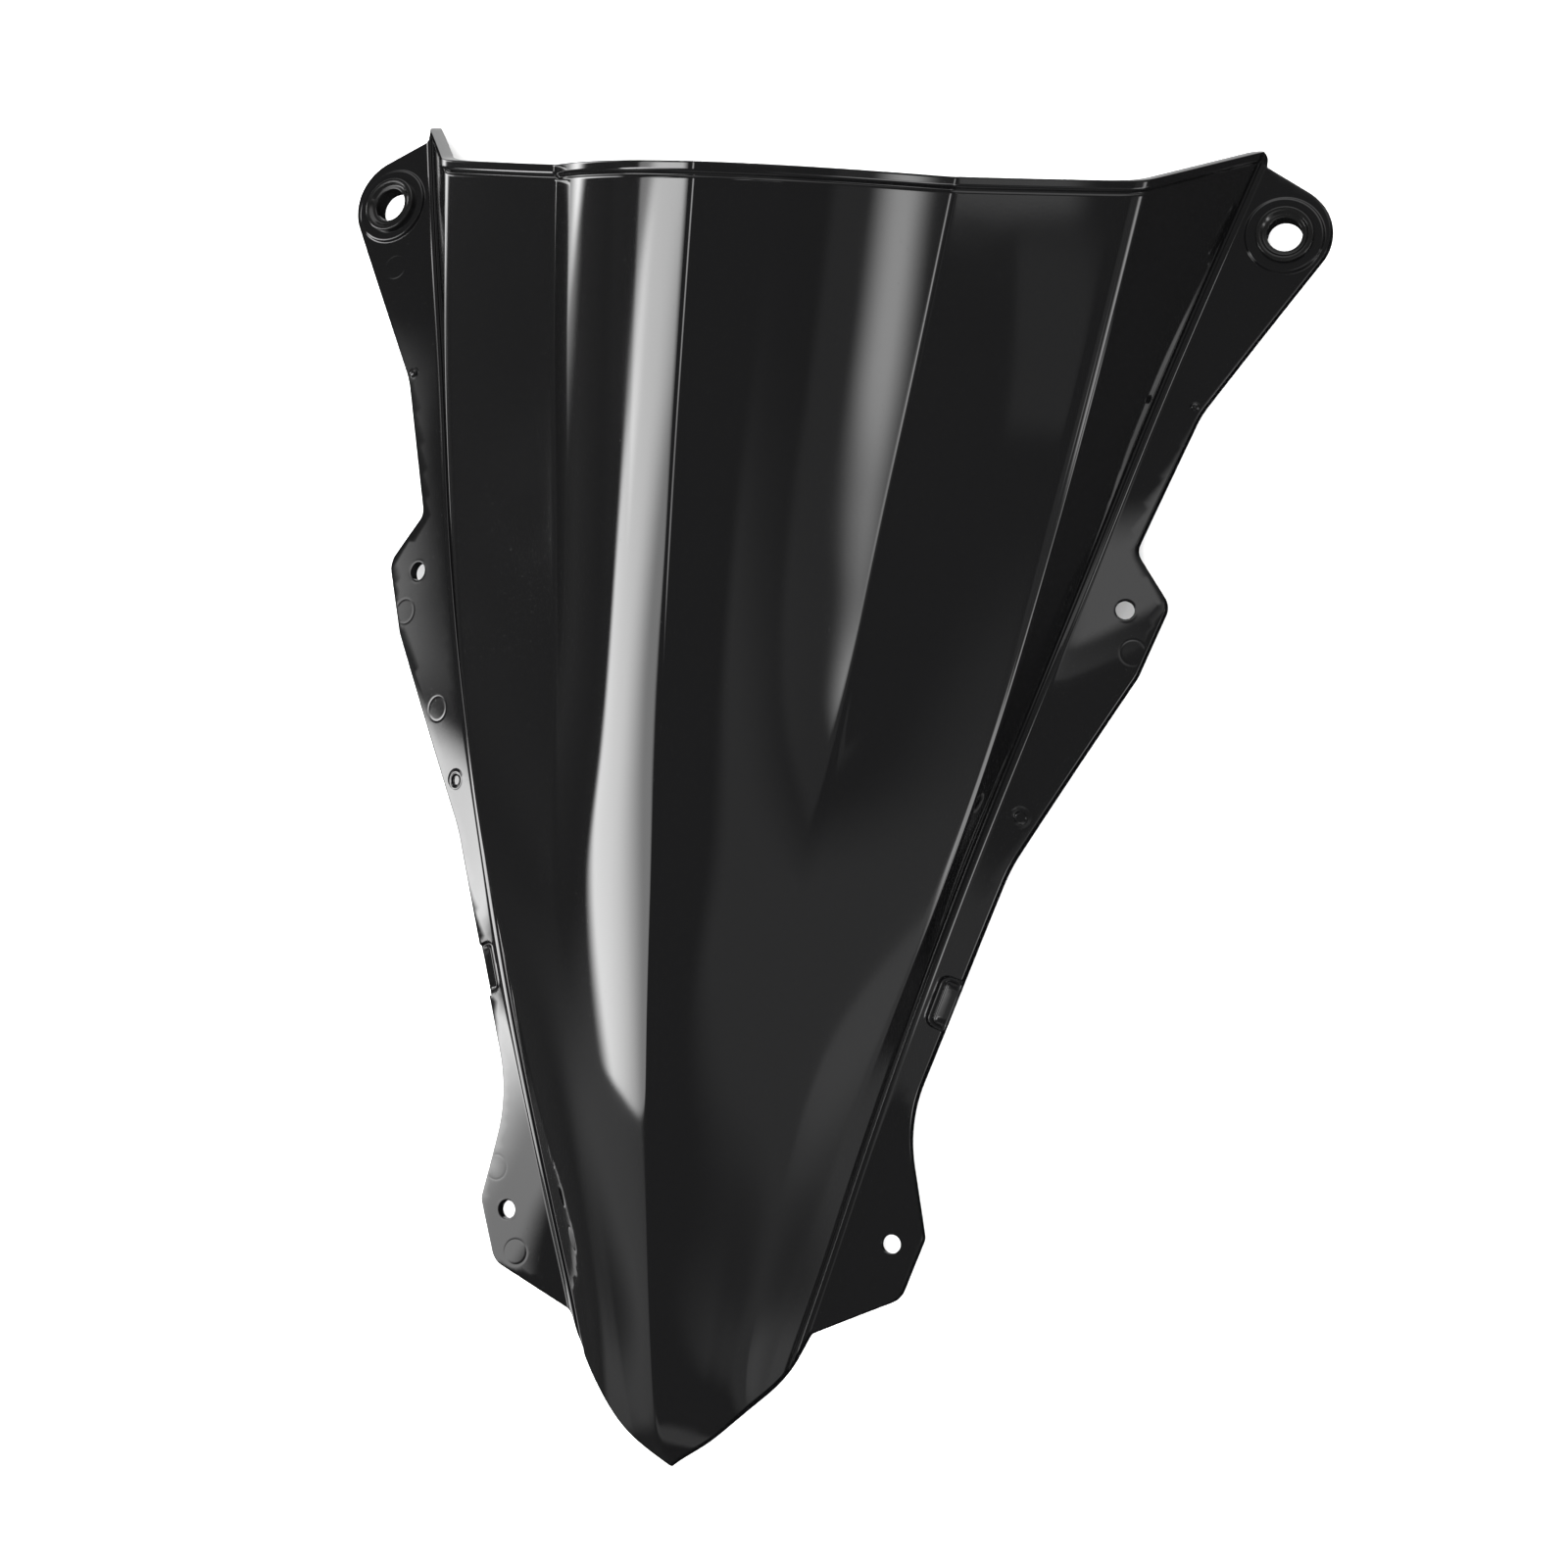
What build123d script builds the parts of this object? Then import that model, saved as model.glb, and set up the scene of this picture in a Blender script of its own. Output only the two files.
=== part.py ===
from build123d import *
import math
import os

# Sport-bike windscreen: a one-piece moulded shell with a central bubble, two side panels, steep side
# walls and two mounting wings, and a rubber grommet in each mirror-stem hole.
# +X is across the screen, which is the same on both sides of X = 0. +Y runs from the nose to the rear
# lip, and +Z is up. The shell lies hollow side down on Z = 0. Lengths are millimetres.

# ---------------------------------------------------------------- driving dimensions
LENGTH = 430.0            # nose tip to the rear tips of the ears
WALL = 3.0                # wall thickness of the moulding
STEP_WIDTH = 3.2          # joggle between side wall and wing, across
STEP_HEIGHT = 2.3         # joggle between side wall and wing, down
PANEL_CROWN = 0.8         # outward bulge of each side panel
WING_REACH = 40.0         # how far the untrimmed wing runs out from the joggle
LIP_WIDTH = 4.0           # bead along the rear edge
LIP_HEIGHT = 0.9
LIP_ROOT = 1.5            # how deep the bead's solid reaches into the wall
FIXING_HOLE_D = 6.0       # clearance for an M5 screw
MIRROR_HOLE_D = 14.0      # hole in the wing that the grommet fills
PAD_D = 25.0              # flat raised pad round the mirror hole
PAD_HEIGHT = 0.8
PAD_ROOT = 1.0            # how deep the pad's solid reaches into the wing
GROMMET_BORE_D = 11.1
GROMMET_FLANGE_D = 18.4
GROMMET_FLANGE_H = 1.5
GROMMET_DISH_D = 15.4     # inner edge of the grommet's raised ring
GROMMET_DISH_DEPTH = 0.9
GROMMET_LOWER_H = 1.2     # flange under the wing
GROMMET_ROUND = 0.5       # rounding of both flanges' rims
SEAT_D = 19.0             # flat seat under the wing for the grommet's lower flange
DIMPLE_D = 4.0            # blind locating dimple
DIMPLE_DEPTH = 0.8
PIP_D = 3.0               # small moulded pip
NOTCH_LENGTH = 17.0       # thinned rebate in the wing's edge
NOTCH_WIDTH = 5.0
NOTCH_DEPTH = 1.8
NOTCH_SWEEP = 0.3         # the wing's edge runs out by this much per length

# Shape of the outer skin, one column per cross-section. A station is the distance from the nose tip.
STATIONS = (-6, 6, 18, 45, 70, 100, 140, 190, 240, 290, 340, 390, 435)
CROWN_Z = (-5, 14, 23.5, 37.2, 47.3, 58.7, 71, 83.3, 95.3, 105.7, 114.2, 122, 128)
FOOT_X = (11, 13, 15.5, 19.5, 24, 30, 37, 43.3, 49, 54.7, 61, 66.3, 70.7)
FOOT_Z = (-8, 7.3, 14, 22.5, 31.3, 41, 50.7, 60.3, 62, 66, 69.5, 72.3, 74.2)
CREASE_X = (20, 23.5, 27, 33.5, 40.5, 49.5, 63, 79.5, 91.7, 101, 109.3, 116, 121.5)
CREASE_Z = (-12, 0.9, 5.2, 10, 16.2, 23.2, 29, 35, 39, 42.7, 45, 46, 46.7)
WING_X = (26.5, 29.5, 33, 40.6, 48.3, 57.2, 69.2, 83.6, 98, 111.2, 123, 136, 147.5)
WING_Z = (-17, -4, 0, 3.8, 8.8, 15.2, 21.8, 25.9, 26.3, 23, 17.4, 11.2, 3.6)
WING_SLOPE = (0.05, 0.05, 0.05, 0.05, 0.12, 0.27, 0.65, 0.5, 0.42, 0.33, 0.22, 0.21, 0.21)
BUBBLE_POWER = (1.15, 1.15, 1.15, 1.15, 1.2, 1.25, 1.35, 1.6, 1.85, 1.9, 1.95, 2, 2)

# Plan outline of the right wing, from the ear forward to the nose: x, station and corner radius.
WING_OUTLINE = (
    (144, 450, 0), (144, 424.3, 0.5), (173.7, 409, 16), (135.3, 341.5, 30), (121.2, 295.8, 5),
    (132.8, 280.2, 6), (125.5, 257, 14), (93.3, 193.5, 60), (67.3, 112, 50), (75, 78, 4),
    (68.6, 58.8, 7), (40.3, 45.4, 0),
)
# Plan outline of the nose, from the wing to the tip: x and station.
NOSE_OUTLINE = ((40.3, 45.4), (34, 32.4), (24.7, 20.5), (13.5, 8.9), (0, 0))
# Rear edge seen from the side: station and height, from the ears up to the crown.
REAR_EDGE = (
    (431.2, -12), (430.3, 2), (428.2, 7), (414, 33), (407, 46), (399.5, 72), (388.6, 121.7), (385, 138),
)

# Features on the right wing, mirrored to the left: x and station.
UPPER_FIXING = (120.5, 277)
LOWER_FIXING = (65.1, 75)
MIRROR_HOLE = (153.6, 401.6)
PIP = (133.7, 343.5)
DIMPLE = (95.7, 209)
NOTCH = (78.6, 149.5)

HALF_LENGTH = LENGTH / 2
REST_LIFT = -0.08         # added to every height so that the shell just rests on Z = 0

# Solids that only cut reach well past the shell.
PAST_SIDE = 200.0
PAST_REAR = 470.0         # station
PAST_UNDER = -60.0        # height
PAST_TOP = 200.0          # height
CUTTER_LENGTH = 20.0


# ---------------------------------------------------------------- shape functions
def along(row, station):
    """Smooth value of one row at a station: a cubic through the stations with averaged slopes."""
    last = len(STATIONS) - 1
    slopes = []
    for i in range(last + 1):
        before, after = max(i - 1, 0), min(i + 1, last)
        slopes.append((row[after] - row[before]) / (STATIONS[after] - STATIONS[before]))
    i = 0
    while i < last - 1 and station > STATIONS[i + 1]:
        i += 1
    step = STATIONS[i + 1] - STATIONS[i]
    t = (station - STATIONS[i]) / step
    return (
        (2 * t**3 - 3 * t**2 + 1) * row[i] + (t**3 - 2 * t**2 + t) * step * slopes[i]
        + (3 * t**2 - 2 * t**3) * row[i + 1] + (t**3 - t**2) * step * slopes[i + 1]
    )


def height(row, station):
    """Height above the surface that the shell rests on."""
    return along(row, station) + REST_LIFT


def half_profile(station):
    """Outer skin of the right half at a station, as bubble, panel and outer points (x, z)."""
    crown = height(CROWN_Z, station)
    foot = (along(FOOT_X, station), height(FOOT_Z, station))
    crease = (along(CREASE_X, station), height(CREASE_Z, station))
    wing = (along(WING_X, station), height(WING_Z, station))
    power = along(BUBBLE_POWER, station)
    bubble = [(foot[0] * t, crown - (crown - foot[1]) * t**power) for t in (0, 0.25, 0.5, 0.75, 1)]
    middle = ((foot[0] + crease[0]) / 2, (foot[1] + crease[1]) / 2 + PANEL_CROWN)
    wall_foot = (wing[0] - STEP_WIDTH, wing[1] + STEP_HEIGHT)
    wing_end = (wing[0] + WING_REACH, wing[1] - WING_REACH * along(WING_SLOPE, station))
    return bubble, [middle, crease], [wall_foot, wing, wing_end]


def offset_points(points, distance):
    """Points moved square to the line through them; positive is inward, towards the hollow."""
    moved = []
    for i, (x, z) in enumerate(points):
        normals = []
        for a, b in ((i - 1, i), (i, i + 1)):
            if a < 0 or b >= len(points):
                continue
            dx, dz = points[b][0] - points[a][0], points[b][1] - points[a][1]
            size = math.hypot(dx, dz)
            normals.append((dz / size, -dx / size))
        nx = sum(n[0] for n in normals) / len(normals)
        nz = sum(n[1] for n in normals) / len(normals)
        scale = distance / (nx * nx + nz * nz)
        if i == 0:
            moved.append((0, z + distance * (1 if nz > 0 else -1) / abs(nz)))
        else:
            moved.append((x + nx * scale, z + nz * scale))
    return moved


def half_shell_sections(outer_lift, inner_depth):
    """Cross-sections of the right half of a shell, from outer_lift above the skin to inner_depth below."""
    sections = []
    for station in STATIONS:
        bubble, panel, outer = half_profile(station)
        skin = bubble + panel + outer
        top = offset_points(skin, -outer_lift) if outer_lift else skin
        under = offset_points(skin, inner_depth)
        with BuildSketch(Plane.XZ.offset(HALF_LENGTH - station)) as section:
            with BuildLine():
                for line in (top, under):
                    Spline(*line[:5])
                    Spline(*line[4:7])
                    Polyline(*line[6:])
                Line(top[-1], under[-1])
                Line(under[0], top[0])
            make_face()
        sections.append(section.sketch.face())
    return sections


def wing_height(x, station):
    """Height of the wing's outer face."""
    reach = x - along(WING_X, station)
    return height(WING_Z, station) - reach * along(WING_SLOPE, station)


def wing_plane(place, sweep=0.0):
    """Plane on the wing's outer face with its normal out of the wing; sweep is dx/dy of its Y axis."""
    x, station = place
    across = (wing_height(x + 1, station) - wing_height(x - 1, station)) / 2
    length = (wing_height(x, station + 1) - wing_height(x, station - 1)) / 2
    origin = (x, station - HALF_LENGTH, wing_height(x, station))
    return Plane(origin=origin, x_dir=(1, -sweep, across - sweep * length), z_dir=(-across, -length, 1))


def side_points(points):
    """Points (station, height) as (y, z) for a sketch in the YZ plane."""
    return [(station - HALF_LENGTH, z + REST_LIFT) for station, z in points]


BEHIND_REAR_EDGE = REAR_EDGE + ((PAST_REAR, REAR_EDGE[-1][1]), (PAST_REAR, REAR_EDGE[0][1]))
LIP_BAND = REAR_EDGE + tuple((station - LIP_WIDTH, z) for station, z in reversed(REAR_EDGE))
PAD_PLANE = wing_plane(MIRROR_HOLE)

# ---------------------------------------------------------------- screen moulding
with BuildPart() as lip_band:
    loft(half_shell_sections(LIP_HEIGHT, LIP_ROOT))
    with BuildSketch(Plane.YZ):
        with BuildLine():
            Polyline(*side_points(LIP_BAND), close=True)
        make_face()
    extrude(amount=PAST_SIDE, mode=Mode.INTERSECT)

with BuildPart() as half:
    loft(half_shell_sections(0, WALL))
    with BuildSketch(Plane.YZ):
        with BuildLine():
            Polyline(*side_points(BEHIND_REAR_EDGE), close=True)
        make_face()
    extrude(amount=PAST_SIDE, mode=Mode.SUBTRACT)
    add(lip_band.part)
    with BuildSketch(Plane.XY.offset(PAST_UNDER)):
        with BuildLine():
            corners = [(x, station - HALF_LENGTH) for x, station, r in WING_OUTLINE]
            FilletPolyline(*corners, radius=[r for x, station, r in WING_OUTLINE[1:-1]])
            Spline(*[(x, station - HALF_LENGTH) for x, station in NOSE_OUTLINE])
            Line((0, -HALF_LENGTH), (0, corners[0][1]))
            Line((0, corners[0][1]), corners[0])
        make_face()
    extrude(amount=PAST_TOP - PAST_UNDER, mode=Mode.INTERSECT)

    # holes, pad, rebate, dimple and pip on the wing
    with Locations(PAD_PLANE.offset(PAD_HEIGHT)):
        Cylinder(PAD_D / 2, PAD_HEIGHT + PAD_ROOT, align=(Align.CENTER, Align.CENTER, Align.MAX))
    with Locations(PAD_PLANE):
        Cylinder(MIRROR_HOLE_D / 2, CUTTER_LENGTH, mode=Mode.SUBTRACT)
    with Locations(PAD_PLANE.offset(-WALL)):
        Cylinder(SEAT_D / 2, WALL, align=(Align.CENTER, Align.CENTER, Align.MAX), mode=Mode.SUBTRACT)
    for place in (UPPER_FIXING, LOWER_FIXING):
        with Locations(wing_plane(place)):
            Cylinder(FIXING_HOLE_D / 2, CUTTER_LENGTH, mode=Mode.SUBTRACT)
    with Locations(wing_plane(NOTCH, NOTCH_SWEEP)):
        Box(2 * NOTCH_WIDTH, NOTCH_LENGTH, 2 * NOTCH_DEPTH, mode=Mode.SUBTRACT)
    with Locations(wing_plane(DIMPLE)):
        Cylinder(DIMPLE_D / 2, 2 * DIMPLE_DEPTH, mode=Mode.SUBTRACT)
    with Locations(wing_plane(PIP).offset(-PIP_D / 6)):
        Sphere(PIP_D / 2)

with BuildPart() as screen:
    add(half.part)
    mirror(about=Plane.YZ)
screen.part.label = "screen_moulding"

# ---------------------------------------------------------------- mirror grommets
# A rubber ring with a flange on each face of the wing and a dished top.
with BuildPart() as grommet:
    with Locations(PAD_PLANE.offset(PAD_HEIGHT)):
        Cylinder(GROMMET_FLANGE_D / 2, GROMMET_FLANGE_H, align=(Align.CENTER, Align.CENTER, Align.MIN))
        Cylinder(MIRROR_HOLE_D / 2, PAD_HEIGHT + WALL, align=(Align.CENTER, Align.CENTER, Align.MAX))
    with Locations(PAD_PLANE.offset(-WALL)):
        Cylinder(GROMMET_FLANGE_D / 2, GROMMET_LOWER_H, align=(Align.CENTER, Align.CENTER, Align.MAX))
    flange_rim = grommet.edges().filter_by(GeomType.CIRCLE).sort_by(SortBy.RADIUS)[-4:]
    fillet(flange_rim, GROMMET_ROUND)
    with Locations(PAD_PLANE.offset(PAD_HEIGHT + GROMMET_FLANGE_H)):
        Cone(
            GROMMET_BORE_D / 2, GROMMET_DISH_D / 2, GROMMET_DISH_DEPTH,
            align=(Align.CENTER, Align.CENTER, Align.MAX), mode=Mode.SUBTRACT,
        )
    with Locations(PAD_PLANE):
        Cylinder(GROMMET_BORE_D / 2, CUTTER_LENGTH, mode=Mode.SUBTRACT)
grommet.part.label = "mirror_grommet_right"

with BuildPart() as grommet_left:
    mirror(grommet.part, about=Plane.YZ)
grommet_left.part.label = "mirror_grommet_left"

# ---------------------------------------------------------------- export
os.makedirs("parts", exist_ok=True)
for piece in (screen, grommet, grommet_left):
    export_step(piece.part, f"parts/{piece.part.label}.step")
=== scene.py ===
import math

import bpy
import numpy as np
from mathutils import Matrix, Vector
from mathutils.geometry import delaunay_2d_cdt


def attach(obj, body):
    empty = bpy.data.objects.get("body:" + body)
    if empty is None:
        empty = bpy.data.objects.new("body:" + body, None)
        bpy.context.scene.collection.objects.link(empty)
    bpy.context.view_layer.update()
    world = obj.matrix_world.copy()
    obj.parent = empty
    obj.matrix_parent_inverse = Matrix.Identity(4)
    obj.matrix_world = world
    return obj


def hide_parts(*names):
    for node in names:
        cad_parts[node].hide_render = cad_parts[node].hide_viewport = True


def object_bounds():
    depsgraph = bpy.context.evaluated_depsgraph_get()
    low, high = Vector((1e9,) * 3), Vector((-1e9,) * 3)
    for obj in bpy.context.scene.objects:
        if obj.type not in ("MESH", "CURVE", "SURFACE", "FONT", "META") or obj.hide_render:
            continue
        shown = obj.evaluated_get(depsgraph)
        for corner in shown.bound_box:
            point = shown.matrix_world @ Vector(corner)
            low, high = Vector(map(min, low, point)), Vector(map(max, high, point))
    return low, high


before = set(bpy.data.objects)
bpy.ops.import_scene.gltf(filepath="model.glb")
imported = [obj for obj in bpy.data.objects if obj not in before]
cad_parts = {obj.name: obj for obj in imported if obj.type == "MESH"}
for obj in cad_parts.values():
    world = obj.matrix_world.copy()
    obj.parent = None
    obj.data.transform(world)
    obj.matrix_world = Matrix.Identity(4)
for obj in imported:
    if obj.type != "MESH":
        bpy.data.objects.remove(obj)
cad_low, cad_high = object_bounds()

# Looks of a one-piece sport-bike windscreen and its two mirror grommets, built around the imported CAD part.
# Lengths below are millimetres, turned into metres where a mesh is made. A station is the distance from
# the nose tip along +Y. The right half (+X) is built, and the left half mirrors it.
MM = 0.001
NOSE_Y = cad_low.y / MM

# ---------------------------------------------------------------- driving dimensions, as in the CAD part
WALL = 3.0
STEP_WIDTH = 3.2
STEP_HEIGHT = 2.3
PANEL_CROWN = 0.8
REST_LIFT = -0.08
# One value per station: height and half width of each key point of the section, the wing's slope and the
# power of the bubble's curve.
STATIONS = (-6, 6, 18, 45, 70, 100, 140, 190, 240, 290, 340, 390, 435)
CROWN_Z = (-5, 14, 23.5, 37.2, 47.3, 58.7, 71, 83.3, 95.3, 105.7, 114.2, 122, 128)
FOOT_X = (11, 13, 15.5, 19.5, 24, 30, 37, 43.3, 49, 54.7, 61, 66.3, 70.7)
FOOT_Z = (-8, 7.3, 14, 22.5, 31.3, 41, 50.7, 60.3, 62, 66, 69.5, 72.3, 74.2)
CREASE_X = (20, 23.5, 27, 33.5, 40.5, 49.5, 63, 79.5, 91.7, 101, 109.3, 116, 121.5)
CREASE_Z = (-12, 0.9, 5.2, 10, 16.2, 23.2, 29, 35, 39, 42.7, 45, 46, 46.7)
WING_X = (26.5, 29.5, 33, 40.6, 48.3, 57.2, 69.2, 83.6, 98, 111.2, 123, 136, 147.5)
WING_Z = (-17, -4, 0, 3.8, 8.8, 15.2, 21.8, 25.9, 26.3, 23, 17.4, 11.2, 3.6)
WING_SLOPE = (0.05, 0.05, 0.05, 0.05, 0.12, 0.27, 0.65, 0.5, 0.42, 0.33, 0.22, 0.21, 0.21)
BUBBLE_POWER = (1.15, 1.15, 1.15, 1.15, 1.2, 1.25, 1.35, 1.6, 1.85, 1.9, 1.95, 2, 2)
WING_OUTLINE = (  # corners in plan: x, station and radius
    (40.3, 45.4, 0), (68.6, 58.8, 7), (75, 78, 4), (67.3, 112, 50), (93.3, 193.5, 60), (125.5, 257, 14),
    (132.8, 280.2, 6), (121.2, 295.8, 5), (135.3, 341.5, 30), (173.7, 409, 16), (144, 424.3, 0),
)
# Points on the nose's edge in plan: x and station.
NOSE_OUTLINE = ((0, 0), (13.5, 8.9), (24.7, 20.5), (34, 32.4), (40.3, 45.4))
REAR_EDGE = (  # points in side view: height and station
    (-12, 431.2), (2, 430.3), (7, 428.2), (33, 414), (46, 407), (72, 399.5), (121.7, 388.6), (138, 385),
)
# Centres of the wing's features in plan: x and station.
UPPER_FIXING = (120.5, 277)
LOWER_FIXING = (65.1, 75)
MIRROR_HOLE = (153.6, 401.6)
PIP = (133.7, 343.5)
DIMPLE = (95.7, 209)
NOTCH = (78.6, 149.5)
FIXING_HOLE_R = 3.0
MIRROR_HOLE_R = 7.0
PAD_R = 12.5
PAD_HEIGHT = 0.8
SEAT_R = 9.5
DIMPLE_R = 2.0
DIMPLE_DEPTH = 0.8
PIP_R = 1.5
PIP_HEIGHT = 1.0
NOTCH_LENGTH = 17.0
NOTCH_WIDTH = 5.0
NOTCH_DEPTH = 1.8
NOTCH_ROUND = 3.0
NOTCH_SWEEP = 0.3         # how far the rebate leans outwards per millimetre of station

# ---------------------------------------------------------------- finer shape, only in the looks
EDGE_R = 0.45             # rounding of the moulding's cut edges
HOLE_EDGE_R = 0.3
CROWN_BLEND = 0.9         # half width of the rounding where two faces meet
FOLD_BLEND = 1.1          # the same at the fold, where the nose adds more
NOSE_FOLD_BLEND = 4.0
NOSE_FOLD_RANGE = (100, 260)   # stations over which that fades out
CREASE_BLEND = 4.5
WALL_SHARE = 0.22         # most of the wall that the crease's rounding may use
JOGGLE_BLEND = 0.24
INNER_BLEND = 1.0         # rounding of the inner face's corners past the crease
CROWN_GROOVE = 0.05       # faint groove along the crown
CROWN_GROOVE_WIDTH = 0.5
# The joggle between wall and wing, as offsets from the wing line: groove, ledge and small step.
JOGGLE = ((-3.2, 2.3), (-2.6, 0.6), (-1.9, 0.5), (-1.6, 1.04), (-0.15, 0.36), (0.1, -0.02))
WING_START = 1.2          # where the section columns end and the wing's face starts
LIP_BEAD = 3.2            # width of the bead along the rear edge
LIP_HEIGHT = 0.9
LIP_FALL = 0.45
LIP_GAP = 0.3             # flat between the bead and its groove
LIP_GROOVE = 1.3
LIP_GROOVE_DEPTH = 0.35
LIP_FADE = 10             # columns of the joggle over which the bead fades out
TIP_R = 3.6               # rounded corner of each ear
EAR_X = 144.0
REAR_EASE = 3.0           # how far the rear edge's corners are eased
REAR_EASE_Z = (8, 20)     # heights between which that easing comes in
PAD_EDGE = (-0.25, 0.15)  # the pad's side, as offsets from its radius
DIMPLE_EDGE = 0.3
DIMPLE_RIM_R = 2.7
DIMPLE_RIM_HEIGHT = 0.12
DIMPLE_RIM = (0.2, 0.6)   # flat and foot of a raised or sunk line, as distances from its middle
EJECTOR_LINE = (0.05, 0.3)
NOTCH_RIB_SIDE = (0.15, 0.5)
SEAT_EDGE = 0.3
NOTCH_EDGE = 0.35
NOTCH_RIB = 0.5           # low rib on the rebate's floor
NOTCH_RIB_INSET = 1.9
EJECTOR_R = 4.0
EJECTOR_DEPTH = 0.012
EJECTOR_MARKS = ((148, 380.0), (124, 264), (106, 232), (70, 88), (61, 62))

# ---------------------------------------------------------------- mesh density
FINE_STEP = 2.0           # station spacing of the smoothed rows
FINE_PAST_END = 60.0      # how far they run on past the first and last station
SMOOTHING = (1.5, 14)     # least and most width of the rows' smoothing
SMOOTHING_GROWTH = 0.13   # widening per millimetre of station
ARC_STEP = 0.1            # spacing along a section when its corners are rounded
EDGE_STEP = 0.1           # station spacing when a column's ends are looked for
SEARCH_FROM = (-4, 200)   # stations from which the front and the rear end are looked for
OUTER_STEPS = 40          # steps along each face of the outer profile
INNER_STEPS = 16          # steps along the bubble of the inner profile
PAST_CROWN = 30           # profile points mirrored past the crown
NOSE_POINTS = 60
REAR_POINTS = 301
CORNER_TURN = 0.2         # radians between two points of a rounded corner
RIM_STEPS = (0.2, 0.45, 0.7, 1.0)
WING_SPACING = 2.6        # mesh spacing on the wing
WING_ROW = 0.87           # spacing of the mesh rows there, as a share of it
OUTLINE_SPACING = 2.2
NOTCH_SPACING = 0.25
TRIM_CLEAR = 0.9          # the outline's points closer to its ends than this are left out
TRIM_REAR = 410           # station past which its rear end is
FRONT_ROWS = (0.0, 0.5, 1.2, 2.2, 3.6)   # rows near the front edge, as distances from it
MIDDLE_ROWS = np.linspace(0, 1, 148)[1:-1]   # shares of the way between the front and rear rows
REAR_ROWS = (12, 9.5, 7.5, 6.3, 5.6, 5.2, 4.9, 4.5, 4.1, 3.75, 3.5, 3.25, 3.0, 2.4, 1.8, 1.2, 0.7, 0.3, 0.0)
ROW_COUNT = len(FRONT_ROWS) + len(MIDDLE_ROWS) + len(REAR_ROWS)


# ---------------------------------------------------------------- smooth rows
FINE = np.arange(STATIONS[0] - FINE_PAST_END, STATIONS[-1] + FINE_PAST_END, FINE_STEP)


def cubic(t, step, low, high, low_slope, high_slope):
    """Value at share t of a cubic piece of length step, from its end values and end slopes."""
    return (
        (2 * t**3 - 3 * t**2 + 1) * low + (t**3 - 2 * t**2 + t) * step * low_slope
        + (3 * t**2 - 2 * t**3) * high + (t**3 - t**2) * step * high_slope
    )


def hermite(row, stations):
    """The CAD part's cubic through the stations, carried on in a straight line past both ends."""
    place = np.array(STATIONS, float)
    value = np.array(row, float)
    last = len(place) - 1
    before = np.maximum(np.arange(last + 1) - 1, 0)
    after = np.minimum(np.arange(last + 1) + 1, last)
    slope = (value[after] - value[before]) / (place[after] - place[before])
    inside = np.clip(stations, place[0], place[-1])
    i = np.clip(np.searchsorted(place, inside, side="right") - 1, 0, last - 1)
    step = place[i + 1] - place[i]
    t = (inside - place[i]) / step
    curve = cubic(t, step, value[i], value[i + 1], slope[i], slope[i + 1])
    return curve + (stations - inside) * np.where(stations < place[0], slope[0], slope[-1])


def smooth_row(row):
    """The row with its steps in curvature evened out: a moving Gaussian, narrow at the nose."""
    raw = hermite(row, FINE)
    width = np.clip(SMOOTHING[0] + SMOOTHING_GROWTH * FINE, *SMOOTHING)
    gap = (FINE[None, :] - FINE[:, None]) / width[:, None]
    weight = np.exp(-0.5 * gap**2)
    moment = weight / weight.sum(1, keepdims=True)
    ends = (FINE < STATIONS[0]) | (FINE > STATIONS[-1])
    return np.where(ends, raw, moment @ raw)


ROWS = {
    name: smooth_row(row)
    for name, row in (
        ("crown_z", CROWN_Z), ("foot_x", FOOT_X), ("foot_z", FOOT_Z), ("crease_x", CREASE_X),
        ("crease_z", CREASE_Z), ("wing_x", WING_X), ("wing_z", WING_Z), ("slope", WING_SLOPE),
        ("power", BUBBLE_POWER),
    )
}


def at(name, station):
    """A smoothed row's value at any station."""
    return np.interp(station, FINE, ROWS[name])


def wing_height(x, station):
    """Height of the wing's outer face."""
    return at("wing_z", station) - (x - at("wing_x", station)) * at("slope", station) + REST_LIFT


def wing_under(x, station):
    """Height of the wing's underside."""
    return wing_height(x, station) - WALL * np.sqrt(1 + at("slope", station) ** 2)


# ---------------------------------------------------------------- cross-sections
def eased(count):
    """Fractions from 0 to 1, closer together at both ends."""
    t = np.linspace(0, 1, count + 1)
    return t - 0.9 * np.sin(2 * np.pi * t) / (2 * np.pi)


SPANS = (  # columns from one key point of the section to the next
    *(eased(count) for count in (40, 30, 20)),
    *(np.linspace(0, 1, count + 1) for count in (6, 4, 3, 5, 4, 3)),
)
COLUMNS = sum(len(span) - 1 for span in SPANS) + 1
JOGGLE_START = sum(len(span) - 1 for span in SPANS[:3])


def section_marks(k):
    """Foot of the bubble, crease and wing line at fine station k, and the direction along the wing."""
    foot, crease, wing = (
        np.array((ROWS[f"{name}_x"][k], ROWS[f"{name}_z"][k])) for name in ("foot", "crease", "wing")
    )
    return foot, crease, wing, np.array((1.0, -ROWS["slope"][k]))


def bubble_curve(k, foot, steps):
    """Points of the bubble from the crown down to its foot."""
    crown = ROWS["crown_z"][k]
    t = np.linspace(0, 1, steps + 1)[:, None]
    return np.hstack((foot[0] * t, crown - (crown - foot[1]) * t ** ROWS["power"][k]))


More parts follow.
